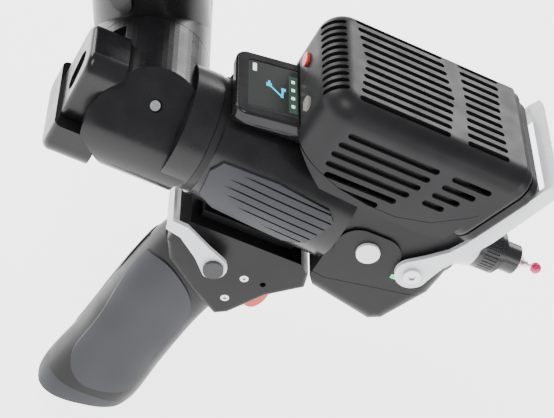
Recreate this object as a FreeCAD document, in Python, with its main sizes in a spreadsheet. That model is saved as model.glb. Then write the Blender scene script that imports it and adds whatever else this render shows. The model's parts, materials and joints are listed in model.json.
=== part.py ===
"""Wrist end of a portable measuring arm with a laser line scanner, pistol grip and touch probe.

All sub-parts are modelled about one working point, where the bend axis (along Y) crosses the
roll axis (along X, towards the probe tip), with Z up from the grip to the scanner. Each sub-part
is then moved by one Placement, so that the document's origin is the centre of the arm flange.
"""
import FreeCAD, Part
import math
import os

Vector = FreeCAD.Vector
X_AXIS, Y_AXIS, Z_AXIS = Vector(1, 0, 0), Vector(0, 1, 0), Vector(0, 0, 1)

DIMS = {
    "lean": 27.33, "tube_r": 29.5, "tube_y": 66.0, "arm_reach": 72.0, "arm_wall": 4.0, "arm_tube_len": 16.0,
    "flange_t": 4.0, "cable_r": 14.0, "flange_bolt_r": 1.7, "flange_pcd": 50.0,
    "link_r": 29.5, "link_face": 36.0, "gap": 0.4, "cover_front": 8.0,
    "bend_shaft_r": 10.0, "bearing_w": 8.0, "bearing_or": 17.0, "running": 0.05,
    "roll_face": 28.0, "roll_bore_r": 15.0, "core_r": 10.9, "core_bore_r": 7.0, "skin": 3.0,
    "wrist_end": 106.0, "wall": 3.0,
    "scan_half": 41.0, "scan_top": 73.0, "scan_rear": 61.0, "scan_front": 165.0,
    "vent_w": 3.3, "vent_pitch": 6.2, "vent_rows": 11.0, "cover_t": 2.4,
    "nose_half": 30.0, "hub_r": 15.0, "lock_r": 11.4, "lock_len": 13.0,
    "probe_r": 7.8, "stem_r": 1.0, "ball_r": 3.0, "tip_x": 223.0,
    "housing_half": 19.5, "latch_t": 2.6,
    "front_lean": 20.0, "display_x": 38.0, "display_y": 50.0, "display_tilt": 9.0,
}

doc = FreeCAD.newDocument("MeasuringWrist")
sheet = doc.addObject("Spreadsheet::Sheet", "Dims")
for row, (alias, value) in enumerate(DIMS.items(), start=1):
    sheet.set("A%d" % row, alias)
    sheet.set("B%d" % row, str(value))
    sheet.setAlias("B%d" % row, alias)
doc.recompute()

D = {alias: float(sheet.get(alias)) for alias in DIMS}
LEAN = math.radians(D["lean"])
TUBE = Vector(-math.sin(LEAN), 0, math.cos(LEAN))
TUBE_FOOT = Vector(0, D["tube_y"], 0)
ORIGIN = TUBE_FOOT + TUBE * D["arm_reach"]
SHIFT = FreeCAD.Placement(-ORIGIN, FreeCAD.Rotation())
NODES = []


# ---------------------------------------------------------------- helpers
def turned(axis):
    return FreeCAD.Rotation(Z_AXIS, axis)


def cylinder(name, radius, length, base, axis):
    """A Part cylinder whose radius and length are expressions of the sheet."""
    item = doc.addObject("Part::Cylinder", name)
    item.setExpression("Radius", radius)
    item.setExpression("Height", length)
    item.Placement = FreeCAD.Placement(base, turned(axis))
    return item


def ring(name, outer, inner, length, base, axis):
    """A plain ring: one cylinder cut from another, a little longer, one."""
    solid = cylinder(name + "_outer", outer, length, base, axis)
    hole = cylinder(name + "_bore", inner, length + " + 2", base - axis, axis)
    cut = doc.addObject("Part::Cut", name)
    cut.Base, cut.Tool = solid, hole
    return keep(name, cut)


def keep(name, item):
    """Names a finished sub-part and moves it into the frame of the arm flange."""
    item.Label = name
    item.Placement = SHIFT.multiply(item.Placement)
    NODES.append(item)
    return item


def feature(name, shape):
    item = doc.addObject("Part::Feature", name)
    item.Shape = shape
    return keep(name, item)


def rod(radius, length, base, axis):
    return Part.makeCylinder(radius, length, base, axis)


def block(low, high):
    size = Vector(*high) - Vector(*low)
    return Part.makeBox(size.x, size.y, size.z, Vector(*low))


def prism(outline, low_y, high_y):
    """A closed (x, z) outline pushed along Y."""
    points = [Vector(x, low_y, z) for x, z in outline]
    wire = Part.makePolygon(points + points[:1])
    return Part.Face(wire).extrude(Vector(0, high_y - low_y, 0))


def smooth_prism(outline, low_y, high_y):
    """As prism, with one closed spline through the outline's points."""
    curve = Part.BSplineCurve()
    curve.interpolate([Vector(x, low_y, z) for x, z in outline], PeriodicFlag=True)
    return Part.Face(Part.Wire(curve.toShape())).extrude(Vector(0, high_y - low_y, 0))


def section(centre, across, along, half_a, half_b, power):
    """A closed superellipse in the plane of two directions."""
    points = []
    count = 24
    for step in range(count):
        turn = 2 * math.pi * step / count
        a, b = math.cos(turn), math.sin(turn)
        a = math.copysign(abs(a) ** (2 / power), a) * half_a
        b = math.copysign(abs(b) ** (2 / power), b) * half_b
        points.append(centre + across * a + along * b)
    curve = Part.BSplineCurve()
    curve.interpolate(points, PeriodicFlag=True)
    return Part.Wire(curve.toShape())


def loft_x(stations, power, inset=0.0):
    """A loft along X. A station is x, half width, top z, bottom z."""
    wires = []
    for x, half, top, bottom in stations:
        centre = Vector(x, 0, (top + bottom) / 2)
        wires.append(section(centre, Y_AXIS, Z_AXIS, half - inset, (top - bottom) / 2 - inset, power))
    return Part.makeLoft(wires, True, False)


def rounded(shape, radius, test):
    """Fillets the edges that pass a test."""
    return shape.makeFillet(radius, [edge for edge in shape.Edges if test(edge)])


def mirrored(shape):
    return shape.mirror(Vector(0, 0, 0), Y_AXIS)


def slot(length, width, depth):
    """A round-ended slot about the origin, long in X, deep in Z."""
    half = (length - width) / 2
    body = block((-half, -width / 2, -depth / 2), (half, width / 2, depth / 2))
    for side in (-half, half):
        body = body.fuse(rod(width / 2, depth, Vector(side, 0, -depth / 2), Z_AXIS))
    return body.removeSplitter()


def placed(shape, at, rotation=None):
    copy = shape.copy()
    copy.Placement = FreeCAD.Placement(at, rotation or FreeCAD.Rotation())
    return copy


def screw(at, axis, head_r, head_t, shank_r, shank_l, hex_r):
    """A socket screw: its head's top centre at a point, the axis out of the head."""
    body = rod(head_r, head_t, at - axis * head_t, axis)
    body = body.fuse(rod(shank_r, shank_l, at - axis * (head_t + shank_l), axis))
    corners = []
    side = axis.cross(X_AXIS if abs(axis.x) < 0.9 else Y_AXIS).normalize()
    other = axis.cross(side)
    for step in range(6):
        turn = math.pi * step / 3
        corners.append(at + side * hex_r * math.cos(turn) + other * hex_r * math.sin(turn))
    socket = Part.Face(Part.makePolygon(corners + corners[:1])).extrude(axis * -head_t * 0.6)
    return body.cut(socket)


# ---------------------------------------------------------------- arm stub and upper link
def arm_stub():
    """The end of the arm's tube with its bolt flange, and the bearing that the link turns in."""
    reach, flange, length = D["arm_reach"], D["flange_t"], D["arm_tube_len"]
    outer = D["tube_r"] + 1.5
    base = TUBE_FOOT + TUBE * (reach - flange - length)
    tube = rod(outer, length, base, TUBE).cut(rod(outer - D["arm_wall"], length, base, TUBE))
    seat = TUBE_FOOT + TUBE * (reach - flange)
    plate = rod(outer, flange, seat, TUBE).cut(rod(D["cable_r"], flange + 2, seat - TUBE, TUBE))
    side = Y_AXIS.cross(TUBE)
    for step in range(6):
        turn = math.pi * step / 3
        offset = (Y_AXIS * math.cos(turn) + side * math.sin(turn)) * (D["flange_pcd"] / 2)
        plate = plate.cut(rod(D["flange_bolt_r"], flange + 2, seat - TUBE + offset, TUBE))
    feature("arm_tube", tube.fuse(plate).removeSplitter())
    ring("arm_bearing", "Dims.tube_r + 1.5 - Dims.arm_wall", "20 + Dims.running", "Dims.bearing_w",
         base + TUBE * 4, TUBE)


def upper_link():
    """The link between the arm and the wrist: a neck on the arm's axis and a drum on the bend axis."""
    face = D["link_face"] + D["gap"]
    start = D["arm_reach"] - D["flange_t"] - D["arm_tube_len"] - D["gap"]
    far = 2 * D["tube_y"] - face
    drum = rod(D["link_r"], far - face, Vector(0, face, 0), Y_AXIS)
    neck = rod(D["tube_r"], start - 8, TUBE_FOOT, TUBE)
    flare = Part.makeCone(D["tube_r"], D["tube_r"] + 1.5, 8, TUBE_FOOT + TUBE * (start - 8), TUBE)
    spigot = rod(20, 14, TUBE_FOOT + TUBE * (start - 0.5), TUBE)
    body = drum.fuse([neck, flare, spigot]).removeSplitter()
    body = body.cut(rod(D["bearing_or"], 30, Vector(0, face - 1, 0), Y_AXIS))
    body = body.cut(rod(D["cable_r"], start + 20, TUBE_FOOT, TUBE))
    middle = TUBE_FOOT + TUBE * 36
    across = Y_AXIS.cross(TUBE)
    out = (across * -0.42 - Y_AXIS * 0.91).normalize()
    body = body.cut(rod(6.2, 6, middle + out * (D["tube_r"] - 2), out))
    feature("knuckle_body", body)
    feature("knuckle_plug", rod(6.0, 2.8, middle + out * (D["tube_r"] - 2), out))
    cap = rod(D["link_r"] - 1.5, 3, Vector(0, far, 0), Y_AXIS)
    feature("knuckle_end_cap", rounded(cap, 1.5, lambda edge: edge.BoundBox.YMin > far + 2.9))
    ring("bend_bearing", "Dims.bearing_or", "Dims.bend_shaft_r + Dims.running", "Dims.bearing_w",
         Vector(0, face + 2, 0), Y_AXIS)


# ---------------------------------------------------------------- roll housing
SCREW_SEAT, SCREW_OUT = Vector(-1, -15.3, 14.6), Vector(0, -0.82, 0.57).normalize()


def near_screw():
    return screw(SCREW_SEAT + SCREW_OUT * 0.1, SCREW_OUT, 2.5, 1.5, 1.0, 0.05, 1.3)


def link_outline(grow):
    """Round head on the bend axis, straight rear edge leaning forward, flat lower edge."""
    r = D["link_r"] + grow
    points = []
    for step in range(47):
        turn = math.radians(-35 + 230 * step / 46)
        points.append((r * math.cos(turn), r * math.sin(turn)))
    return points + [(-6 - grow * 0.3, -r), (r * 0.82, -r)]


def near_face(inset):
    """The side profile (y, z) of the near face: it leans back to the top and rounds in below."""
    curve = [(-6 + inset, -29.5 + inset), (-16 + inset, -27.6 + inset), (-23.5 + inset, -21.5 + inset),
             (-27.2 + inset, -12), (-26.5 + inset, -1), (-20.5 + inset, 10), (-11.5 + inset, 21),
             (-5.5 + inset, 29), (-2 + inset, 36)]
    spline = Part.BSplineCurve()
    spline.interpolate([Vector(-45, y, z) for y, z in curve])
    rest = [curve[-1], (D["cover_front"] + 60, 36), (D["cover_front"] + 60, curve[0][1]), curve[0]]
    lines = Part.makePolygon([Vector(-45, y, z) for y, z in rest])
    wire = Part.Wire([spline.toShape()] + lines.Edges)
    return Part.Face(wire).extrude(Vector(100, 0, 0))


def build_housing():
    """The block between the bend joint and the roll joint, bored for both shafts."""
    r, face, front = D["link_r"], D["link_face"], D["cover_front"]
    block_part = prism(link_outline(0), -34, face).common(near_face(D["skin"]))
    collar = rod(r, 14, Vector(D["roll_face"] - 14, 0, 0), X_AXIS)
    body = block_part.fuse(collar).removeSplitter()
    body = body.cut(block((D["roll_face"], -60, -60), (60, 60, 60)))
    groove = rod(r + 1, 13, Vector(0, front + 9, 0), Y_AXIS).cut(rod(r - 4, 13, Vector(0, front + 9, 0), Y_AXIS))
    fan = [(0, 0)]
    for step in range(7):
        turn = math.pi / 2 + LEAN + math.radians(19 + 105 * step / 6)
        fan.append((60 * math.cos(turn), 60 * math.sin(turn)))
    body = body.cut(groove.common(prism(fan, front, face)))
    body = body.cut(rod(D["roll_bore_r"], 80, Vector(-40, 0, 0), X_AXIS))
    body = body.cut(rod(D["bend_shaft_r"], 30, Vector(0, 10, 0), Y_AXIS)).cut(near_screw())
    feature("roll_housing", max(body.Solids, key=lambda solid: solid.Volume))
    shaft = rod(D["bend_shaft_r"], 49, Vector(0, 10, 0), Y_AXIS)
    shaft = shaft.cut(rod(D["roll_bore_r"], 80, Vector(-40, 0, 0), X_AXIS))
    feature("bend_shaft", max(shaft.Solids, key=lambda solid: solid.Volume))


def near_cover():
    """The smooth cover over the near side of the block, with one recessed screw."""
    front = D["cover_front"]
    cover = prism(link_outline(0), -34, front).common(near_face(0)).cut(near_face(D["skin"]))
    cover = cover.cut(rod(D["link_r"] + 0.05, 20, Vector(D["roll_face"] - 14.05, 0, 0), X_AXIS))
    cover = cover.cut(rod(3.3, 8, SCREW_SEAT - SCREW_OUT * 0.9, SCREW_OUT)).cut(near_screw())
    cover = max(cover.Solids, key=lambda solid: solid.Volume)
    feature("knuckle_cover", cover)
    return near_screw()


def rear_covers():
    """The two covers that close the rear of the block: an upper one with a pocket, a lower one."""
    cover = block((-39, -18, -9), (-20, 18, 26))
    cover = rounded(cover, 9, lambda edge: edge.BoundBox.XLength > 4 and edge.BoundBox.ZMin > 20)
    cover = rounded(cover, 3, lambda edge: edge.BoundBox.XMax < -38.9 and edge.BoundBox.ZMax > -8.9)
    turn = FreeCAD.Rotation(X_AXIS, -14).multiply(FreeCAD.Rotation(Y_AXIS, 90))
    cover = cover.cut(placed(slot(20, 12, 6), Vector(-39, -4, 9), turn))
    cover = cover.cut(prism(link_outline(0.1), -40, D["link_face"]))
    rear_screw = screw(Vector(-35.6, -4, 7), Vector(-1, 0, 0), 2.6, 1.4, 1.0, 0.05, 1.1)
    feature("rear_cover", max(cover.cut(rear_screw).Solids, key=lambda solid: solid.Volume))
    bumper = block((-41, -26, -28.5), (-18, 26, -9.2))
    bumper = rounded(bumper, 9, lambda edge: edge.BoundBox.XLength > 4 and edge.BoundBox.ZMax < -20)
    bumper = rounded(bumper, 4, lambda edge: edge.BoundBox.XMax < -40.9 and edge.BoundBox.ZMin < -9.4)
    bumper = bumper.cut(prism(link_outline(0.1), -40, D["link_face"]))
    feature("rear_bumper", max(bumper.Solids, key=lambda solid: solid.Volume))
    return rear_screw


# ---------------------------------------------------------------- wrist
def wrist_core():
    """The hollow roll shaft with its flange, and the two bearings that carry it."""
    face = D["roll_face"] + D["gap"]
    core = rod(D["core_r"], 18 + face, Vector(-18, 0, 0), X_AXIS)
    core = core.fuse(rod(D["link_r"] - 0.6, 4, Vector(face, 0, 0), X_AXIS))
    core = core.cut(rod(D["core_bore_r"], 80, Vector(-30, 0, 0), X_AXIS))
    feature("wrist_core", core)
    bearings = []
    for base in (-16, 16):
        bearing = rod(D["roll_bore_r"], D["bearing_w"], Vector(base, 0, 0), X_AXIS)
        bearings.append(bearing.cut(rod(D["core_r"] + D["running"], 40, Vector(base - 9, 0, 0), X_AXIS)))
    feature("roll_bearings", Part.makeCompound(bearings))


WRIST_STATIONS = [(D["roll_face"] + D["gap"] + 4, 28.6, 28.6, -28.6), (44, 29.5, 29.5, -30),
                  (66, 31.5, 31, -32), (88, 33, 31, -33), (D["wrist_end"], 34, 31, -34)]


def wrist_shell():
    """The hand-held barrel and the ribbed pads let into its sides."""
    stations = WRIST_STATIONS
    start, end = stations[0][0], stations[-1][0]
    outer = loft_x(stations, 2.3)
    inner = rod(24, end - start - 3, Vector(start + 3, 0, 0), X_AXIS)
    shell = outer.cut(inner).cut(rod(D["core_bore_r"], 20, Vector(start - 2, 0, 0), X_AXIS))
    outline = [(38, 9), (66, 11), (94, 9), (99, 4), (93, -15), (84, -21), (46, -21), (36, -14), (34, 2)]
    pads = []
    for low, high in ((-45, -20), (20, 45)):
        area = prism(outline, low, high)
        skin = loft_x([(x, half + 1.6, top + 1.6, bottom - 1.6) for x, half, top, bottom in stations], 2.3)
        core = loft_x([(x, half - 1.4, top - 1.4, bottom + 1.4) for x, half, top, bottom in stations], 2.3)
        pad = skin.cut(core).common(area)
        shell = shell.cut(core.fuse(skin).common(area).cut(core))
        for line in range(7):
            z = 7.5 - 4.6 * line
            outer_y = -60 if low < 0 else 31
            groove = block((30, outer_y, z - 0.45), (104, outer_y + 29, z + 0.45))
            pad = pad.cut(groove)
        pads.append(max(pad.Solids, key=lambda solid: solid.Volume))
    feature("side_grip_pads", Part.makeCompound(pads))
    return shell


DISPLAY_CENTRE = Vector(48.9, 0, 39.5)


def display_room():
    """The clear space round the display that the scanner's rear edge leaves open."""
    half_x, half_y = D["display_x"] / 2 + 0.6, D["display_y"] / 2 + 0.6
    solid = rounded(block((-half_x, -half_y, -9), (half_x, half_y, 1.2)), 5.5,
                    lambda edge: edge.BoundBox.ZLength > 10 and edge.BoundBox.XLength < 0.01)
    return placed(solid, DISPLAY_CENTRE, FreeCAD.Rotation(Y_AXIS, -D["display_tilt"]))


def display_group(shell):
    tilt = FreeCAD.Rotation(Y_AXIS, -D["display_tilt"])
    half_x, half_y = D["display_x"] / 2, D["display_y"] / 2
    centre = DISPLAY_CENTRE

    def plate(grow, low, high, corner):
        solid = block((-half_x - grow, -half_y - grow, low), (half_x + grow, half_y + grow, high))
        return rounded(solid, corner, lambda edge: edge.BoundBox.ZLength > high - low - 0.01
                       and edge.BoundBox.XLength < 0.01)

    def tilted(shape):
        return placed(shape, centre, tilt)

    window = tilted(plate(-6.0, -1.2, 1.0, 2.0))
    bezel = tilted(rounded(plate(0, -5.5, 0, 6.0), 1.4, lambda edge: edge.BoundBox.ZMin > -0.01))
    bezel = bezel.cut(window)
    feature("display_glass", tilted(plate(-6.1, -1.2, -0.3, 2.0)))
    pocket = tilted(plate(-4, -5.6, -1.9, 2.0))
    feature("display_bezel", bezel.cut(pocket))
    feature("display_board", tilted(plate(-4.5, -4.6, -2.2, 2.0)))
    feature("display_gasket", tilted(plate(-1.4, -8.0, -5.6, 5.0)))
    low = Part.Wire(Part.makePolygon([Vector(30.5, -14, 20), Vector(78, -14, 20), Vector(78, 14, 20),
                                      Vector(30.5, 14, 20), Vector(30.5, -14, 20)]))
    top_points = [Vector(-half_x + 3, -half_y + 5, -8.1), Vector(half_x - 3, -half_y + 5, -8.1),
                  Vector(half_x - 3, half_y - 5, -8.1), Vector(-half_x + 3, half_y - 5, -8.1)]
    top_points = [tilt.multVec(point) + centre for point in top_points]
    neck = Part.makeLoft([low, Part.makePolygon(top_points + top_points[:1])], True, False)
    neck = neck.cut(rod(25.5, 80, Vector(20, 0, 0), X_AXIS))
    neck = neck.cut(block((0, -60, 0), (D["roll_face"] + D["gap"] + 4.1, 60, 60)))
    feature("display_neck", neck)
    return shell.cut(neck)


def nose():
    half, start = D["nose_half"], D["wrist_end"] + 0.1
    outline = [(start, 30), (start, -34), (113, -43), (147, -50), (154, -46), (166, -20), (168, 10), (168, 30)]
    body = prism(outline, -half, half)
    body = rounded(body, 7.5, lambda edge: edge.BoundBox.YLength < 0.01 and edge.BoundBox.XMax < 169
                   and edge.BoundBox.ZMax < 29.9 and edge.BoundBox.XMin > start + 0.1)
    body = body.fuse(rod(D["hub_r"] + 5, 8, Vector(163, 0, 0), X_AXIS)).removeSplitter()
    cavity = prism([(start + 4, 26), (start + 4, -32), (146, -42), (158, -18), (160, 26)], -half + 4, half - 4)
    body = body.cut(cavity)
    plane = prism([(100, -30.3), (113, -32.3), (170, -20.3), (170, -20), (113, -32), (100, -30)], -60, 60)
    lower = body.common(prism([(90, -28.8), (113, -32.3), (175, -19.2), (175, -90), (90, -90)], -60, 60))
    upper = body.cut(plane).cut(lower)
    upper = max(upper.Solids, key=lambda solid: solid.Volume)
    lower = max(lower.Solids, key=lambda solid: solid.Volume)
    pads, lights = [], []
    upright = FreeCAD.Rotation(X_AXIS, 90)
    for side, name in ((-1, "near"), (1, "far")):
        at = Vector(124, side * half, -7)
        button_hole = rod(6.1, 16, at - Y_AXIS * 8, Y_AXIS)
        upper = upper.cut(button_hole)
        pads.append(placed(slot(34, 23, 1.4), at + Y_AXIS * side * 0.72, upright).cut(button_hole))
        cap = rod(5.9, 4.6, at - Y_AXIS * (3.0 if side < 0 else 1.6), Y_AXIS)
        feature("side_button_" + name, cap)
        light = block((142, -1.2, -1.2), (146.5, 1.2, 1.2))
        light = placed(light, Vector(0, side * (half - 0.9), -16))
        upper = upper.cut(light)
        lower = lower.cut(light)
        lights.append(light)
        pivot_hole = rod(2.05, 8, Vector(149, side * half - 4, -8), Y_AXIS)
        upper = upper.cut(pivot_hole)
    upper = upper.cut(rod(D["hub_r"] - 3, 30, Vector(150, 0, 0), X_AXIS))
    feature("nose_upper", upper)
    feature("nose_lower", lower)
    feature("button_pads", Part.makeCompound(pads))
    feature("status_lights", Part.makeCompound(lights))


def leaned(shape):
    """Moves a shape made for an upright front to the scanner's leaning one."""
    hinge = Vector(D["scan_front"], 0, D["scan_top"] - 1)
    copy = shape.copy()
    copy.rotate(hinge, Y_AXIS, D["front_lean"])
    return copy


def scanner_body(inset):
    """The scanner's outer form: a box with large rounds at its top and rear."""
    half, top = D["scan_half"] - inset, D["scan_top"] - inset
    rear, front = D["scan_rear"] + inset, D["scan_front"] + (1 if inset else 0)
    body = block((rear, -half, 20 - inset), (front, half, top))
    body = rounded(body, 15 - inset, lambda edge: edge.BoundBox.ZLength > 20 and edge.BoundBox.XMax < rear + 1)
    body = rounded(body, 12 - inset, lambda edge: edge.BoundBox.ZMin > top - 0.01
                   and edge.BoundBox.XMin < front - 1)
    ahead = leaned(block((D["scan_front"] + 0.02, -60, -40), (260, 60, 100)))
    return body.cut(ahead)


COVER_EDGE = [(57, 42), (72, 34.5), (88, 28.5), (105, 25.8), (120, 25.5), (137, 30), (152, 41), (165, 55.5)]


def scanner():
    """The vented cover and the two lights at its rear."""
    half, top, rear = D["scan_half"], D["scan_top"], D["scan_rear"]
    region = [(rear - 10, 90)] + [(rear - 10, 43)] + COVER_EDGE[1:] + [(165, 90)]
    cover = scanner_body(0).cut(scanner_body(D["cover_t"])).common(prism(region, -60, 60))
    cover = max(cover.Solids, key=lambda solid: solid.Volume)
    half_rows = int(D["vent_rows"] - 1) // 2
    cuts = []
    upright = FreeCAD.Rotation(X_AXIS, 90)
    for row in range(-half_rows, half_rows + 1):
        y, bow = row * D["vent_pitch"], abs(row) * 0.9
        cuts.append(placed(slot(48, D["vent_w"], 16), Vector(104 - bow, y, top)))
        cuts.append(placed(slot(20 + bow * 0.6, D["vent_w"], 16), Vector(144, y, top)))
        cuts.append(placed(slot(13, 3.0, 10), Vector(rear + 4.5, y * 0.86, top - 4.5),
                           FreeCAD.Rotation(Y_AXIS, -45)))
    for row in range(6):
        z, shrink = 57.5 - row * 6.1, (0, 0, 1, 4, 10, 24)[row]
        long_at = Vector(101.5 - row * 1.6 + (0, 0, 0.5, 1, 2, 4)[row], 0, z)
        cuts.append(placed(slot(48 - shrink, D["vent_w"], 120), long_at, upright))
        if row < 4:
            cuts.append(placed(slot(21 - row * 3.2, D["vent_w"], 120), Vector(143 - row * 3.4, 0, z), upright))
    for cut in cuts + [display_room()]:
        cover = cover.cut(cut)
    lens_turn = FreeCAD.Rotation(Y_AXIS, 90).multiply(FreeCAD.Rotation(Z_AXIS, 90))
    for name, y in (("laser_light", 18), ("power_light", -18)):
        cover = cover.cut(placed(slot(9, 5.4, 12), Vector(rear, y, 50), lens_turn))
        feature(name, placed(slot(8.8, 5.2, 5), Vector(rear + 1.2, y, 50), lens_turn))
    feature("scanner_cover", max(cover.Solids, key=lambda solid: solid.Volume))


def scanner_base():
    """The body under the cover: it fills up to the cover's lower edge and holds the optics."""
    front, rear = D["scan_front"], D["scan_rear"]
    outline = [(rear + 2, 37.4)] + [(x, z - 0.3) for x, z in COVER_EDGE[1:]]
    outline += [(front, 30.1), (140, 22), (108, 22), (80, 24)]
    base = scanner_body(0).common(prism(outline, -60, 60))
    base = base.cut(block((100, -30.2, 0), (169, 30.2, 30.05)))
    base = base.cut(rod(34.2, 60, Vector(60, 0, 0), X_AXIS))
    base = base.cut(block((126, -36, 33.3), (164.9, 36, 80))).cut(display_room())
    feature("scanner_base", max(base.Solids, key=lambda solid: solid.Volume))


def front_end():
    """The smooth collar, seal, window frame and lower bumper at the scanner's front."""
    half, front, top = D["scan_half"], D["scan_front"], D["scan_top"]

    def slab(low, high, inset, corner):
        solid = block((low, -half + inset, 22), (high, half - inset, top - inset))
        return rounded(solid, corner, lambda edge: edge.BoundBox.XLength > high - low - 0.01)

    tunnel = block((front - 2, -28, 32), (front + 30, 28, 60))
    nose_space = block((100, -30.2, -40), (front + 5, 30.2, 30.2)).fuse(
        rod(D["hub_r"] + 5.2, 60, Vector(150, 0, 0), X_AXIS))
    collar = slab(front + 0.1, front + 6, 0.8, 11)
    collar = rounded(collar, 2.0, lambda edge: edge.BoundBox.XMin > front + 5.9)
    feature("front_collar", leaned(collar.cut(tunnel)).cut(nose_space))
    feature("front_gasket", leaned(slab(front + 6.1, front + 7.3, 3.4, 9).cut(tunnel)).cut(nose_space))
    frame = slab(front + 7.4, front + 13, 2.4, 10)
    frame = rounded(frame, 2.5, lambda edge: edge.BoundBox.XMin > front + 12.9)
    bar = block((front + 8, -1.9, 31.9), (front + 11.5, 1.9, 60.1))
    feature("front_bezel", leaned(frame.cut(tunnel).fuse(bar).removeSplitter()).cut(nose_space))
    panes = [block((front + 8, -27.9, 32.1), (front + 10.5, -2, 59.9)),
             block((front + 8, 2, 32.1), (front + 10.5, 27.9, 59.9))]
    feature("front_windows", Part.makeCompound([leaned(pane) for pane in panes]))
    bumper = block((front + 13.1, -30.5, 25), (front + 25, 30.5, 64))
    bumper = rounded(bumper, 7, lambda edge: edge.BoundBox.XLength > 11)
    bumper = rounded(bumper, 3, lambda edge: edge.BoundBox.XMin > front + 24.9)
    bumper = bumper.cut(block((front, -25, 31), (front + 60, 25, 58)))
    bumper = leaned(bumper).cut(nose_space)
    feature("front_bumper", max(bumper.Solids, key=lambda solid: solid.Volume))


def scanner_inside():
    """The laser line projector, the camera, the heat sink and the fan."""
    laser = rod(7.5, 30, Vector(129, -16, 46), X_AXIS).fuse(block((132, -20, 33.4), (152, -12, 42)))
    feature("laser_module", laser.removeSplitter())
    camera = block((128, 6, 33.4), (150, 28, 56)).fuse(rod(8, 9, Vector(150, 17, 46), X_AXIS))
    feature("camera_module", camera.removeSplitter())
    fins = block((98, -30, 31.3), (122, 30, 34))
    for fin in range(13):
        fins = fins.fuse(block((98, -30 + fin * 4.6, 34), (122, -28.6 + fin * 4.6, 52)))
    feature("heat_sink", fins.removeSplitter())
    fan = block((86, -14, 36), (94, 14, 64)).cut(rod(12.5, 12, Vector(84, 0, 50), X_AXIS))
    spokes = block((86, -13, 49), (88, 13, 51)).fuse(block((86, -1, 37), (88, 1, 63)))
    fan = fan.fuse([spokes, rod(4, 8, Vector(86, 0, 50), X_AXIS)])
    feature("cooling_fan", fan.removeSplitter())


def latch_bail(name, pivot, outline, half, inner_half, bridge):
    """A U-shaped lever: two flat arms and a bridge, turning on the pivot along Y."""
    arm = prism(outline, inner_half, half)
    shape = arm.fuse([mirrored(arm), bridge]).removeSplitter()
    shape = shape.cut(rod(3.05, 120, pivot - Y_AXIS * 60, Y_AXIS))
    feature(name, shape)


def scanner_latch():
    pivot = Vector(149, 0, -8)
    inner, outer = D["nose_half"] + 1.6, D["nose_half"] + 1.6 + D["latch_t"]
    round_end = [(149 + 8.5 * math.cos(math.radians(t)), -8 + 8.5 * math.sin(math.radians(t)))
                 for t in range(130, 361, 10)]
    front_edge = [(160.5, 3), (166, 12), (173.5, 28), (182, 54), (185.5, 65), (185, 70), (181, 72)]
    rear_edge = [(178.2, 67), (175, 57), (162.2, 21), (158, 13), (150, 4.5)]
    bridge = prism([(178.2, 67), (185.5, 66), (185, 70), (181, 72)], -inner, inner)
    outline = round_end + front_edge + rear_edge
    latch_bail("scanner_latch", pivot, outline, outer, inner, bridge)
    half = D["nose_half"]
    boss = rod(6.5, inner - half - 0.6, Vector(149, half + 0.1, -8), Y_AXIS)
    pin = rod(3.0, outer - inner + 1.2, Vector(149, inner - 0.6, -8), Y_AXIS)
    stem = rod(2.0, 4.6, Vector(149, half - 4, -8), Y_AXIS)
    head = screw(Vector(149, outer + 2.0, -8), Y_AXIS, 4.4, 1.6, 2.0, 0.05, 2.0)
    pivot_part = boss.fuse([pin, stem, head]).removeSplitter()
    feature("latch_pivots", Part.makeCompound([pivot_part, mirrored(pivot_part)]))


# ---------------------------------------------------------------- touch probe
def probe():
    hub = Part.makeCone(D["hub_r"], D["hub_r"] - 3, 12, Vector(171.1, 0, 0), X_AXIS)
    hub = hub.fuse(rod(D["hub_r"] - 3.1, 10, Vector(161.2, 0, 0), X_AXIS))
    spigot = rod(8.0, 5, Vector(183.1, 0, 0), X_AXIS)
    feature("probe_hub", hub.fuse(spigot).removeSplitter())
    lock = rod(D["lock_r"], D["lock_len"], Vector(183.5, 0, 0), X_AXIS)
    lock = lock.cut(rod(8.05, D["lock_len"] + 2, Vector(182.5, 0, 0), X_AXIS))
    for step in range(36):
        turn = 2 * math.pi * step / 36
        at = Vector(186.5, D["lock_r"] * math.cos(turn), D["lock_r"] * math.sin(turn))
        lock = lock.cut(rod(0.45, D["lock_len"] - 5.5, at, X_AXIS))
    feature("probe_lock_ring", lock)
    body = rod(8.0, 8.2, Vector(188.3, 0, 0), X_AXIS).fuse(rod(D["probe_r"] + 1.6, 1.6, Vector(196.7, 0, 0), X_AXIS))
    body = body.fuse(rod(D["probe_r"], 9, Vector(198.2, 0, 0), X_AXIS)).removeSplitter()
    feature("probe_body", body)
    feature("probe_nose", Part.makeCone(D["probe_r"] - 1, 2.2, 5, Vector(207.3, 0, 0), X_AXIS))
    tip = D["tip_x"] - D["ball_r"]
    stem = rod(D["stem_r"], tip - 212.3 + 0.6, Vector(212.4, 0, 0), X_AXIS)
    ball = Part.makeSphere(D["ball_r"], Vector(tip, 0, 0))
    feature("stylus_stem", stem.fuse(rod(1.9, 2, Vector(212.4, 0, 0), X_AXIS)).cut(ball))
    feature("stylus_ball", ball)


# ---------------------------------------------------------------- pistol grip
def grip_stations():
    """Centre, half depth (front to back) and half width down the grip."""
    return [(62.0, -72.0, 25.5, 17.5, -35), (57.5, -88.0, 24.5, 17.6, -24), (54.5, -108.0, 23.5, 17.8, -12),
            (52.0, -130.0, 23.5, 18.2, -6), (50.0, -152.0, 24.0, 18.6, -4), (47.5, -170.0, 25.5, 18.8, 4),
            (46.0, -181.0, 25.0, 18.0, 10)]


def grip_loft(grow, first=0, last=7):
    wires = []
    for x, z, deep, wide, tilt in grip_stations()[first:last]:
        turn = math.radians(tilt)
        along = Vector(math.cos(turn), 0, math.sin(turn))
        wires.append(section(Vector(x, 0, z), along, Y_AXIS, deep + grow, wide + grow, 2.6))
    return Part.makeLoft(wires, True, False)


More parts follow.
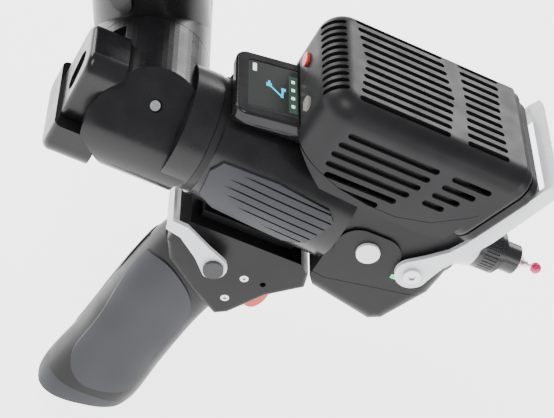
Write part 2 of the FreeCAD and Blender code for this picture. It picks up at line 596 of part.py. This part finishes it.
def handle():
    half = D["housing_half"]
    outline = [(38.5, -42), (43, -38.2), (104, -38.2), (111, -44), (113, -52), (98, -66), (86, -85), (80, -89),
               (62, -79), (44, -66), (38, -55)]
    housing = prism(outline, -half, half)
    housing = rounded(housing, 3.0, lambda edge: edge.BoundBox.YLength < 0.01 and edge.BoundBox.ZMax < -38.4)
    grip = grip_loft(0)
    plane = prism([(20, -49), (30, -54.5), (80, -90), (110, -112), (110, 20), (20, 20)], -60, 60)
    grip = grip.cut(plane).cut(housing)
    grip = max(grip.Solids, key=lambda solid: solid.Volume)
    hollow = grip_loft(-D["wall"], 1, 6)
    grip = grip.cut(hollow)
    end = block((-20, -60, -260), (140, 60, -172.0))
    end_cap = grip.common(end)
    grip = grip.cut(block((-20, -60, -260), (140, 60, -171.9)))
    outline = [(36.5, -74), (44, -71.5), (56, -77), (66, -87), (70, -99), (68, -113), (66, -130), (66, -150),
               (64, -160), (54, -165), (38, -165), (30, -158), (29, -142), (31, -122), (32, -100), (33, -84)]
    pads = []
    for low, high in ((-60, -6), (6, 60)):
        area = smooth_prism(outline, low, high)
        pad = grip_loft(0.9).cut(grip_loft(-1.2)).common(area).cut(housing)
        grip = grip.cut(area.common(grip_loft(1.5)).cut(grip_loft(-1.25)))
        pads.append(max(pad.Solids, key=lambda solid: solid.Volume))
    feature("palm_pads", Part.makeCompound(pads))
    near = grip.common(block((-20, -60, -260), (140, -0.02, 0)))
    far = grip.common(block((-20, 0.02, -260), (140, 60, 0)))
    feature("grip_shell_near", max(near.Solids, key=lambda solid: solid.Volume))
    feature("grip_shell_far", max(far.Solids, key=lambda solid: solid.Volume))
    feature("grip_end_cap", max(end_cap.Solids, key=lambda solid: solid.Volume))

    inner = prism([(42, -44), (98, -44), (104, -50), (92, -62), (82, -78), (64, -74), (48, -62)],
                  -half + 3, half - 3)
    housing = housing.cut(inner)
    trigger_gap = block((86, -5.3, -90), (125, 5.3, -54))
    housing = housing.cut(trigger_gap)
    housing = housing.cut(rod(4.1, 40, Vector(96, 0, -50), Vector(1, 0, -0.55)))
    pin_hole = rod(1.5, 60, Vector(93, -30, -59.0), Y_AXIS)
    housing = housing.cut(pin_hole)
    for at in ((83, -60), (80, -76)):
        for side in (-1, 1):
            housing = housing.cut(rod(2.3, 1.8, Vector(at[0], side * (half - 0.8) - 0.9, at[1]), Y_AXIS))
    housing = housing.cut(rod(3.0, 60, Vector(63, -30, -54), Y_AXIS))
    housing = max(housing.Solids, key=lambda solid: solid.Volume)
    feature("trigger_housing", housing)
    screws = []
    for at in ((83, -60), (80, -76)):
        head = screw(Vector(at[0], half - 0.3, at[1]), Y_AXIS, 2.2, 1.3, 0.8, 0.05, 1.0)
        screws += [head, mirrored(head)]
    feature("housing_screws", Part.makeCompound(screws))
    feature("handle_mount", block((48, -12, -38.1), (98, 12, -33.9)).cut(
        loft_x(WRIST_STATIONS, 2.3)))

    blade = [(92, -56), (95.5, -57.5), (103, -68), (104.5, -79), (99, -88), (95.5, -87), (95, -78),
             (89.5, -68), (89, -60)]
    trigger = smooth_prism(blade, -4.6, 4.6).cut(rod(1.55, 40, Vector(93, -20, -59.0), Y_AXIS))
    feature("trigger", trigger)
    feature("trigger_pin", rod(1.5, 30, Vector(93, -15, -59.0), Y_AXIS))
    slope = Vector(1, 0, -0.55).normalize()
    feature("mode_button", rod(3.9, 16, Vector(100, 0, -52.2), slope))


def handle_latch():
    pivot = Vector(63, 0, -54)
    inner = D["housing_half"] + 5.4
    outer = inner + D["latch_t"]
    round_end = [(63 + 7.0 * math.cos(math.radians(t)), -54 + 7.0 * math.sin(math.radians(t)))
                 for t in range(-110, 76, 23)]
    outline = round_end + [(56, -43.6), (41, -36.2), (32.5, -35.6), (31.5, -41.6), (40, -43.4), (52, -52)]
    bridge = prism([(31.7, -41.4), (34.0, -41.6), (34.2, -36.2), (32.4, -35.8)], -inner, inner)
    latch_bail("handle_latch", pivot, outline, outer, inner, bridge)
    half = D["housing_half"]
    boss = rod(5.0, inner - half - 0.6, Vector(63, half + 0.1, -54), Y_AXIS)
    pin = rod(3.0, outer - half + 2.4, Vector(63, half - 2, -54), Y_AXIS)
    head = rod(5.2, 1.8, Vector(63, outer + 0.4, -54), Y_AXIS)
    pivot_part = boss.fuse([pin, head]).removeSplitter()
    feature("handle_pivots", Part.makeCompound([pivot_part, mirrored(pivot_part)]))


# ---------------------------------------------------------------- the whole assembly
def whole():
    arm_stub()
    upper_link()
    build_housing()
    cover_screws = [near_cover(), rear_covers()]
    feature("cover_screws", Part.makeCompound(cover_screws))
    wrist_core()
    shell = display_group(wrist_shell())
    feature("wrist_shell", max(shell.Solids, key=lambda solid: solid.Volume))
    nose()
    scanner()
    scanner_base()
    front_end()
    scanner_inside()
    scanner_latch()
    probe()
    handle()
    handle_latch()


def check():
    doc.recompute()
    for item in doc.Objects:
        if "Invalid" in item.State or "Error" in item.State:
            raise RuntimeError("failed object: " + item.Label)
    for item in NODES:
        if item.Shape.isNull() or not item.Shape.isValid():
            raise RuntimeError("bad shape: " + item.Label)


whole()
check()
os.makedirs("parts", exist_ok=True)
for item in NODES:
    item.Shape.exportStep("parts/%s.step" % item.Label)
    print(item.Label, len(item.Shape.Solids), round(item.Shape.Volume))
print(len(NODES), "sub-parts")
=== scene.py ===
"""Looks for the wrist of a portable measuring arm: a line scanner, pistol grip and touch probe.

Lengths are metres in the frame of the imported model. Places are worked out from the CAD nodes'
boxes and from the working point, where the bend axis crosses the roll axis.
"""
import json
import math
import random

import bmesh
import bpy
from mathutils import Matrix, Vector


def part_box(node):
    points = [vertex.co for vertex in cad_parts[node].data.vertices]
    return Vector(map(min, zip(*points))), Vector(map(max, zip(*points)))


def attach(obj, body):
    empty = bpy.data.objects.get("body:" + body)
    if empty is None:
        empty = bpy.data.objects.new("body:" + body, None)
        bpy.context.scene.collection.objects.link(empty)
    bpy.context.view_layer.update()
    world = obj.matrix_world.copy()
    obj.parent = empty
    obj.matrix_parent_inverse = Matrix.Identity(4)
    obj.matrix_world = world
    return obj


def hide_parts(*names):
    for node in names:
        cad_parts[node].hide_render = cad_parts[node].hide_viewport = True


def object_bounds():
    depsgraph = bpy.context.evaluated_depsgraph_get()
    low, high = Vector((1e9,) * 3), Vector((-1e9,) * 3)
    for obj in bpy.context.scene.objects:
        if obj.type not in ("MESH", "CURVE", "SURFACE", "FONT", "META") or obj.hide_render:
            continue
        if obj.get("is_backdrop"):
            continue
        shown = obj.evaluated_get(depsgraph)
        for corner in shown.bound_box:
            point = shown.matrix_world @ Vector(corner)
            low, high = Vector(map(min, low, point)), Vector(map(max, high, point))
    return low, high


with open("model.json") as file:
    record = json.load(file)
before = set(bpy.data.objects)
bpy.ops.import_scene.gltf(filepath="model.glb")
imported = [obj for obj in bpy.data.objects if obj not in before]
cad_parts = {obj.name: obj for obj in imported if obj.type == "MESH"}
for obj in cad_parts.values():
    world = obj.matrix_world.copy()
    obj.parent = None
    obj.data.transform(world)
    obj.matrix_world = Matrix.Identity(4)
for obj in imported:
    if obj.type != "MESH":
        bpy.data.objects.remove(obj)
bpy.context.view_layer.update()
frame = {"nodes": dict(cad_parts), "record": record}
NODES = frame["nodes"]
JOINTS = {joint["name"]: joint for joint in frame["record"]["behaviour"]["joints"]}
WORK = Vector((JOINTS["wrist_bend"]["pos_m"][0], JOINTS["wrist_roll"]["pos_m"][1],
               JOINTS["wrist_roll"]["pos_m"][2]))
MM = 0.001
DISPLAY_TILT = math.radians(9.0)
SMOOTH_BELOW = math.radians(32)  # meshes of CAD nodes are shaded smooth across edges flatter than this
BEVEL_ABOVE = math.radians(38)   # edges sharper than this get a soft edge
CAMERA_AIM = (84, 0, -26)        # millimetres from the working point
CAMERA_RANGE = 0.9
CAMERA_LENS = 117
CAMERA_RIGHT = Vector((0.886, 0.0, 0.458))
CAMERA_BACK = Vector((-0.326, -0.771, 0.547))
FLOOR_REACH = 6.0
FLOOR_GAP = 0.03


def spot(x, y, z):
    """A place given in millimetres from the working point."""
    return WORK + Vector((x, y, z)) * MM


# ---------------------------------------------------------------- materials
def shader(name, colour, roughness, metallic=0.0, coat=0.0, ior=1.46, emission=0.0):
    """A new node material, with its tree and its main shader."""
    material = bpy.data.materials.new(name)
    material.use_nodes = True
    tree = material.node_tree
    principled = tree.nodes["Principled BSDF"]
    principled.inputs["Base Color"].default_value = (*colour, 1)
    principled.inputs["Roughness"].default_value = roughness
    principled.inputs["Metallic"].default_value = metallic
    principled.inputs["Coat Weight"].default_value = coat
    principled.inputs["Coat Roughness"].default_value = 0.12
    principled.inputs["IOR"].default_value = ior
    if emission:
        principled.inputs["Emission Color"].default_value = (*colour, 1)
        principled.inputs["Emission Strength"].default_value = emission
    return material, tree, principled


def noise(tree, scale, detail=4.0, stretch=(1, 1, 1)):
    coords = tree.nodes.new("ShaderNodeTexCoord")
    mapping = tree.nodes.new("ShaderNodeMapping")
    mapping.inputs["Scale"].default_value = stretch
    texture = tree.nodes.new("ShaderNodeTexNoise")
    texture.inputs["Scale"].default_value = scale
    texture.inputs["Detail"].default_value = detail
    tree.links.new(coords.outputs["Object"], mapping.inputs["Vector"])
    tree.links.new(mapping.outputs["Vector"], texture.inputs["Vector"])
    return texture.outputs["Fac"]


def ramp(tree, source, low, high, low_at=0.3, high_at=0.7):
    node = tree.nodes.new("ShaderNodeValToRGB")
    node.color_ramp.elements[0].position = low_at
    node.color_ramp.elements[1].position = high_at
    node.color_ramp.elements[0].color = low
    node.color_ramp.elements[1].color = high
    tree.links.new(source, node.inputs["Fac"])
    return node.outputs["Color"]


def vary_roughness(tree, principled, scale, low, high):
    grey = ramp(tree, noise(tree, scale), (low, low, low, 1), (high, high, high, 1))
    tree.links.new(grey, principled.inputs["Roughness"])


def vary_colour(tree, principled, scale, low, high):
    colour = ramp(tree, noise(tree, scale, 6.0), (*low, 1), (*high, 1))
    tree.links.new(colour, principled.inputs["Base Color"])


def bump(tree, principled, source, strength, distance):
    node = tree.nodes.new("ShaderNodeBump")
    node.inputs["Strength"].default_value = strength
    node.inputs["Distance"].default_value = distance
    tree.links.new(source, node.inputs["Height"])
    tree.links.new(node.outputs["Normal"], principled.inputs["Normal"])


def moulded(name, low, high, rough_low, rough_high, grain, depth, coat=0.0, ior=1.46):
    """Moulded or painted surface: a fine grain, slight colour drift and uneven gloss."""
    material, tree, principled = shader(name, low, rough_low, coat=coat, ior=ior)
    vary_colour(tree, principled, 45, low, high)
    vary_roughness(tree, principled, 90, rough_low, rough_high)
    bump(tree, principled, noise(tree, grain, 2.0), 0.25, depth)
    return material


def machined(name, colour, rough_low, rough_high, stretch):
    material, tree, principled = shader(name, colour, rough_low, metallic=1.0)
    lines = noise(tree, 900, 2.0, stretch)
    grey = ramp(tree, lines, (rough_low,) * 3 + (1,), (rough_high,) * 3 + (1,))
    tree.links.new(grey, principled.inputs["Roughness"])
    bump(tree, principled, lines, 0.15, 0.00004)
    return material


def painted_shade_liner_material(name):
    """A fine dark liner with a woven bump behind the vents: painted shade that darkens the vents' hollow
    interior.
    """
    material, tree, principled = shader(name, (0.012, 0.012, 0.013), 0.6)
    coords = tree.nodes.new("ShaderNodeTexCoord")
    voronoi = tree.nodes.new("ShaderNodeTexVoronoi")
    voronoi.inputs["Scale"].default_value = 900
    tree.links.new(coords.outputs["Object"], voronoi.inputs["Vector"])
    bump(tree, principled, voronoi.outputs["Distance"], 0.6, 0.0002)
    return material


PAINT = moulded("arm_coat", (0.007, 0.0068, 0.0075), (0.012, 0.0115, 0.0125), 0.24, 0.34,
                1500, 0.00003, ior=1.36)
GLOSS = moulded("gloss_shell", (0.006, 0.0056, 0.0063), (0.01, 0.0094, 0.0104), 0.2, 0.3,
                1800, 0.00002, ior=1.38)
SATIN = moulded("satin_shell", (0.008, 0.0072, 0.008), (0.013, 0.012, 0.013), 0.34, 0.46,
                1400, 0.00006, ior=1.3)
RUBBER = moulded("grip_rubber", (0.022, 0.023, 0.027), (0.032, 0.033, 0.038), 0.5, 0.62,
                 1600, 0.00008, ior=1.36)
LEVER = moulded("lever_coat", (0.62, 0.63, 0.65), (0.72, 0.73, 0.75), 0.25, 0.35, 1500, 0.00002, coat=0.3)
WHITE = moulded("white_button", (0.82, 0.82, 0.82), (0.9, 0.9, 0.9), 0.3, 0.4, 1500, 0.00002)
RED = moulded("red_trigger", (0.62, 0.02, 0.015), (0.72, 0.035, 0.02), 0.25, 0.35, 1500, 0.00002, coat=0.3)
AMBER = moulded("grey_lens", (0.2, 0.18, 0.15), (0.28, 0.25, 0.21), 0.3, 0.4, 900, 0.00003)
BLACK = moulded("anodised_black", (0.012, 0.012, 0.013), (0.02, 0.02, 0.021), 0.22, 0.32, 1700, 0.00002)
STEEL = machined("turned_steel", (0.62, 0.62, 0.64), 0.18, 0.34, (1, 8, 8))
ALUMINIUM = machined("machined_aluminium", (0.72, 0.72, 0.74), 0.3, 0.45, (8, 1, 1))
# painted shade: a dark liner that darkens the hollow inside the vents
VENT_PAINTED_SHADE = painted_shade_liner_material("vent_painted_shade_liner")
GLASS = shader("display_cover", (0.006, 0.009, 0.006), 0.06, coat=1.0, ior=1.5)[0]
WINDOW = shader("dark_window", (0.012, 0.003, 0.006), 0.05, coat=1.0, ior=1.5)[0]
RUBY = shader("ruby", (0.62, 0.0, 0.12), 0.12, coat=0.4, ior=1.5)[0]
GREEN = shader("green_light", (0.05, 0.6, 0.12), 0.3, emission=1.5)[0]
CYAN = shader("screen_cyan", (0.0, 0.42, 0.62), 0.4, emission=1.3)[0]
PALE = shader("screen_white", (0.75, 0.8, 0.75), 0.4, emission=1.0)[0]
STRIP = shader("screen_strip", (0.02, 0.05, 0.035), 0.4, emission=0.6)[0]
BOARD = shader("board_green", (0.02, 0.12, 0.05), 0.5)[0]
PANEL = shader("screen_panel", (0.004, 0.008, 0.005), 0.35, emission=0.3)[0]

BY_SLOT = {
    "arm_paint": PAINT, "gloss_black": GLOSS, "satin_black": SATIN, "grip_rubber": RUBBER,
    "screen": GLASS, "window": WINDOW, "white_lever": LEVER, "steel": STEEL, "probe_black": BLACK,
    "ruby": RUBY, "red_plastic": RED, "white_plastic": WHITE, "amber": AMBER, "green_light": GREEN,
    "aluminium": ALUMINIUM, "board": BOARD,
}
# Width in millimetres of the soft edge on each CAD node that gets one.
BEVELS = {
    "roll_housing": 0.5, "knuckle_cover": 1.1, "wrist_shell": 0.4, "trigger_housing": 0.5,
    "scanner_base": 0.4, "nose_upper": 0.5, "nose_lower": 0.6, "scanner_latch": 0.5, "handle_latch": 0.5,
    "probe_hub": 0.4, "probe_body": 0.3, "latch_pivots": 0.3, "handle_pivots": 0.5, "trigger": 0.6,
    "side_button_near": 0.8, "side_button_far": 0.8, "grip_end_cap": 0.5, "knuckle_body": 0.3,
    "arm_tube": 0.4, "mode_button": 0.6, "knuckle_plug": 0.4, "button_pads": 0.4, "rear_bumper": 0.4,
    "front_bumper": 0.6, "front_collar": 0.3, "scanner_cover": 0.35, "display_neck": 0.8,
}


def dress_nodes():
    """Gives every CAD node its material, smooth shading and, where it helps, softened edges."""
    slot_of = {part["node"]: part["material_slot"] for part in frame["record"]["subparts"]}
    for name, node in NODES.items():
        mesh = node.data
        mesh.materials.clear()
        mesh.materials.append(BY_SLOT[slot_of[name]])
        mesh.polygons.foreach_set("use_smooth", [True] * len(mesh.polygons))
        mesh.set_sharp_from_angle(angle=SMOOTH_BELOW)
        if name in BEVELS:
            edge = node.modifiers.new("soft_edges", "BEVEL")
            edge.width = BEVELS[name] * MM
            edge.segments = 3
            edge.limit_method = "ANGLE"
            edge.angle_limit = BEVEL_ABOVE
            edge.use_clamp_overlap = True
            edge.harden_normals = True
            edge.miter_outer = "MITER_ARC"


# ---------------------------------------------------------------- mesh helpers
def piece(name, mesh_data, body, material, smooth=True):
    mesh = bpy.data.meshes.new(name)
    mesh_data.to_mesh(mesh)
    mesh_data.free()
    item = bpy.data.objects.new(name, mesh)
    bpy.context.collection.objects.link(item)
    mesh.materials.append(material)
    if smooth:
        mesh.polygons.foreach_set("use_smooth", [True] * len(mesh.polygons))
        mesh.set_sharp_from_angle(angle=math.radians(35))
    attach(item, body)
    return item


def rounded_box(centre, size, radius, segments):
    """A box mesh with rounded edges, as bmesh data."""
    data = bmesh.new()
    bmesh.ops.create_cube(data, size=1.0)
    bmesh.ops.scale(data, vec=size, verts=data.verts)
    bmesh.ops.bevel(data, geom=data.edges[:], offset=radius, segments=segments, affect="EDGES",
                    profile=0.5)
    bmesh.ops.transform(data, matrix=Matrix.Translation(centre), verts=data.verts)
    return data


def extruded(points, depth, matrix):
    """A flat outline (x, y) given thickness along z, moved by a matrix."""
    data = bmesh.new()
    bottom = [data.verts.new((x, y, 0)) for x, y in points]
    face = data.faces.new(bottom)
    top = bmesh.ops.extrude_face_region(data, geom=[face])["geom"]
    raised = [item for item in top if isinstance(item, bmesh.types.BMVert)]
    bmesh.ops.translate(data, vec=(0, 0, depth), verts=raised)
    bmesh.ops.recalc_face_normals(data, faces=data.faces)
    bmesh.ops.transform(data, matrix=matrix, verts=data.verts)
    return data


# ---------------------------------------------------------------- display
def display_picture():
    """An invented picture on the small screen: a side strip, a sign of a jointed arm and a short bar."""
    low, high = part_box("display_glass")
    tilt = Matrix.Rotation(-DISPLAY_TILT, 3, "Y")
    half_x = 12.4 * MM
    half_y = 18.2 * MM
    centre = (low + high) / 2
    up = tilt @ Vector((0, 0, 1))
    centre += up * 0.52 * MM
    base = Matrix.Translation(centre) @ tilt.to_4x4()

    def panel(name, x0, x1, y0, y1, layer, material):
        outline = [(x0 * half_x, y0 * half_y), (x1 * half_x, y0 * half_y),
                   (x1 * half_x, y1 * half_y), (x0 * half_x, y1 * half_y)]
        lift = base @ Matrix.Translation((0, 0, layer * 0.05 * MM))
        piece(name, extruded(outline, 0.04 * MM, lift), "wrist", material, smooth=False)

    panel("screen_panel", -0.97, 0.97, -0.97, 0.97, 0, PANEL)
    panel("screen_strip", 0.58, 0.92, -0.9, 0.72, 1, STRIP)
    panel("screen_caption", -0.88, -0.72, 0.56, 0.9, 1, PALE)
    for mark in range(4):
        along = 0.5 - 0.36 * mark
        panel("screen_mark_%d" % mark, 0.68, 0.82, along - 0.09, along + 0.04, 2, PALE)
    joints = [(0.34, 0.06), (0.30, -0.30), (-0.22, 0.10), (-0.22, 0.28)]
    knobs = [(0.36, 0.02, 0.13), (0.30, -0.30, 0.08), (-0.22, 0.10, 0.16)]
    for number, (x, y, reach) in enumerate(knobs):
        half_wide, half_high = reach * 0.7, reach / 2
        panel("screen_joint_%d" % number, x - half_wide, x + half_wide, y - half_high, y + half_high, 2, CYAN)
    for number, (first, second) in enumerate(zip(joints, joints[1:])):
        start = Vector((first[0] * half_x, first[1] * half_y))
        end = Vector((second[0] * half_x, second[1] * half_y))
        side = Vector((-(end - start).y, (end - start).x)).normalized() * 0.55 * MM
        outline = [start + side, start - side, end - side, end + side]
        lift = base @ Matrix.Translation((0, 0, 0.1 * MM))
        piece("screen_link_%d" % number, extruded([(p.x, p.y) for p in outline], 0.04 * MM, lift), "wrist",
              CYAN, smooth=False)


def display_boot():
    """The crumpled rubber boot that seals the display to its neck."""
    low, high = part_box("display_gasket")
    random.seed(7)
    data = bmesh.new()
    tilt = Matrix.Rotation(-DISPLAY_TILT, 3, "Y")
    centre = (low + high) / 2
    rows, count, power = 7, 96, 2 / 5  # power below 1 squares the oval's corners
    half_x, half_y, height = 17.6 * MM, 23.4 * MM, 2.2 * MM
    loops = []
    for row in range(rows):
        part = row / (rows - 1)
        ring = []
        for step in range(count):
            turn = 2 * math.pi * step / count
            x = math.copysign(abs(math.cos(turn)) ** power, math.cos(turn))
            y = math.copysign(abs(math.sin(turn)) ** power, math.sin(turn))
            swell = 1 + 0.035 * math.sin(part * math.pi) + random.uniform(-0.012, 0.012)
            point = Vector((x * half_x * swell, y * half_y * swell, (part - 0.5) * height))
            ring.append(data.verts.new(centre + tilt @ point))
        loops.append(ring)
    for first, second in zip(loops, loops[1:]):
        for step in range(count):
            after = (step + 1) % count
            data.faces.new((first[step], first[after], second[after], second[step]))
    data.faces.new(list(reversed(loops[0])))
    data.faces.new(loops[-1])
    boot = piece("display_boot", data, "wrist", RUBBER)
    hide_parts("display_gasket")


# ---------------------------------------------------------------- scanner details
def vent_painted_shade_liner():
    """A dark liner along the vented cover: painted shade that keeps the vents dark inside."""
    low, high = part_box("scanner_cover")
    wall, length, depth, cut_at = 3.0 * MM, 84 * MM, 60 * MM, 36
    size = Vector((length, high.y - low.y - 2 * wall, depth))
    centre = Vector((low.x + wall + size.x / 2, (low.y + high.y) / 2, high.z - wall - size.z / 2))
    data = rounded_box(centre, size, 11 * MM, segments=6)
    edge = spot(0, 0, cut_at).z
    geometry = data.verts[:] + data.edges[:] + data.faces[:]
    bmesh.ops.bisect_plane(data, geom=geometry, plane_co=(0, 0, edge), plane_no=(0, 0, -1), clear_outer=True)
    piece("vent_painted_shade_liner", data, "wrist", VENT_PAINTED_SHADE)


def ball_tip():
    """A true round ruby ball in place of the faceted one."""
    low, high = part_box("stylus_ball")
    data = bmesh.new()
    bmesh.ops.create_uvsphere(data, u_segments=48, v_segments=32, radius=(high.x - low.x) / 2)
    bmesh.ops.translate(data, vec=(low + high) / 2, verts=data.verts)
    ball = piece("ruby_tip", data, "wrist", RUBY)
    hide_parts("stylus_ball")


# ---------------------------------------------------------------- camera, floor and light
def stage():
    low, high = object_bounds()
    floor = bpy.data.meshes.new("floor")
    corners = [(-1, -1), (1, -1), (1, 1), (-1, 1)]
    floor.from_pydata([(x * FLOOR_REACH, y * FLOOR_REACH, 0) for x, y in corners], [], [(0, 1, 2, 3)])
    item = bpy.data.objects.new("floor", floor)
    item.location = ((low.x + high.x) / 2, (low.y + high.y) / 2, low.z - FLOOR_GAP)
    bpy.context.collection.objects.link(item)
    material, tree, principled = shader("pale_floor", (0.97, 0.97, 0.98), 0.6)
    vary_roughness(tree, principled, 3, 0.55, 0.65)
    principled.inputs["Emission Color"].default_value = (1.0, 1.0, 1.0, 1)
    principled.inputs["Emission Strength"].default_value = 2.4
    floor.materials.append(material)
    item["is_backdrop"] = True


def soft_light(name, offset, size, power):
    """An area light at an offset from the working point, turned towards it."""
    data = bpy.data.lights.new(name, "AREA")
    data.shape, data.size, data.energy = "SQUARE", size, power
    item = bpy.data.objects.new(name, data)
    item.location = WORK + Vector(offset)
    item.rotation_euler = (-Vector(offset)).to_track_quat("-Z", "Y").to_euler()
    bpy.context.collection.objects.link(item)


def lighting():
    world = bpy.data.worlds.new("studio")
    world.use_nodes = True
    background = world.node_tree.nodes["Background"]
    background.inputs["Color"].default_value = (0.95, 0.96, 1.0, 1)
    background.inputs["Strength"].default_value = 0.6
    bpy.context.scene.world = world
    soft_light("key", (-0.5, -0.5, 1.1), 0.5, 11)
    soft_light("side", (0.9, -0.9, 0.35), 0.5, 7)
    soft_light("rear", (-0.7, 0.8, 0.5), 0.7, 12)
    soft_light("rim", (0.6, 0.9, 0.7), 0.6, 9)


def camera():
    """A long lens above and behind the near side, rolled so that the arm's tube stands upright."""
    data = bpy.data.cameras.new("camera")
    data.sensor_width, data.lens = 36, CAMERA_LENS
    item = bpy.data.objects.new("camera", data)
    right = CAMERA_RIGHT.normalized()
    back = (CAMERA_BACK - right * CAMERA_BACK.dot(right)).normalized()
    up = back.cross(right)
    turn = Matrix((right, up, back)).transposed().to_4x4()
    item.matrix_world = Matrix.Translation(spot(*CAMERA_AIM) + back * CAMERA_RANGE) @ turn
    bpy.context.collection.objects.link(item)
    bpy.context.scene.camera = item


dress_nodes()
display_picture()
display_boot()
# dark liner as painted shade inside the vents
vent_painted_shade_liner()
ball_tip()
stage()
lighting()
camera()
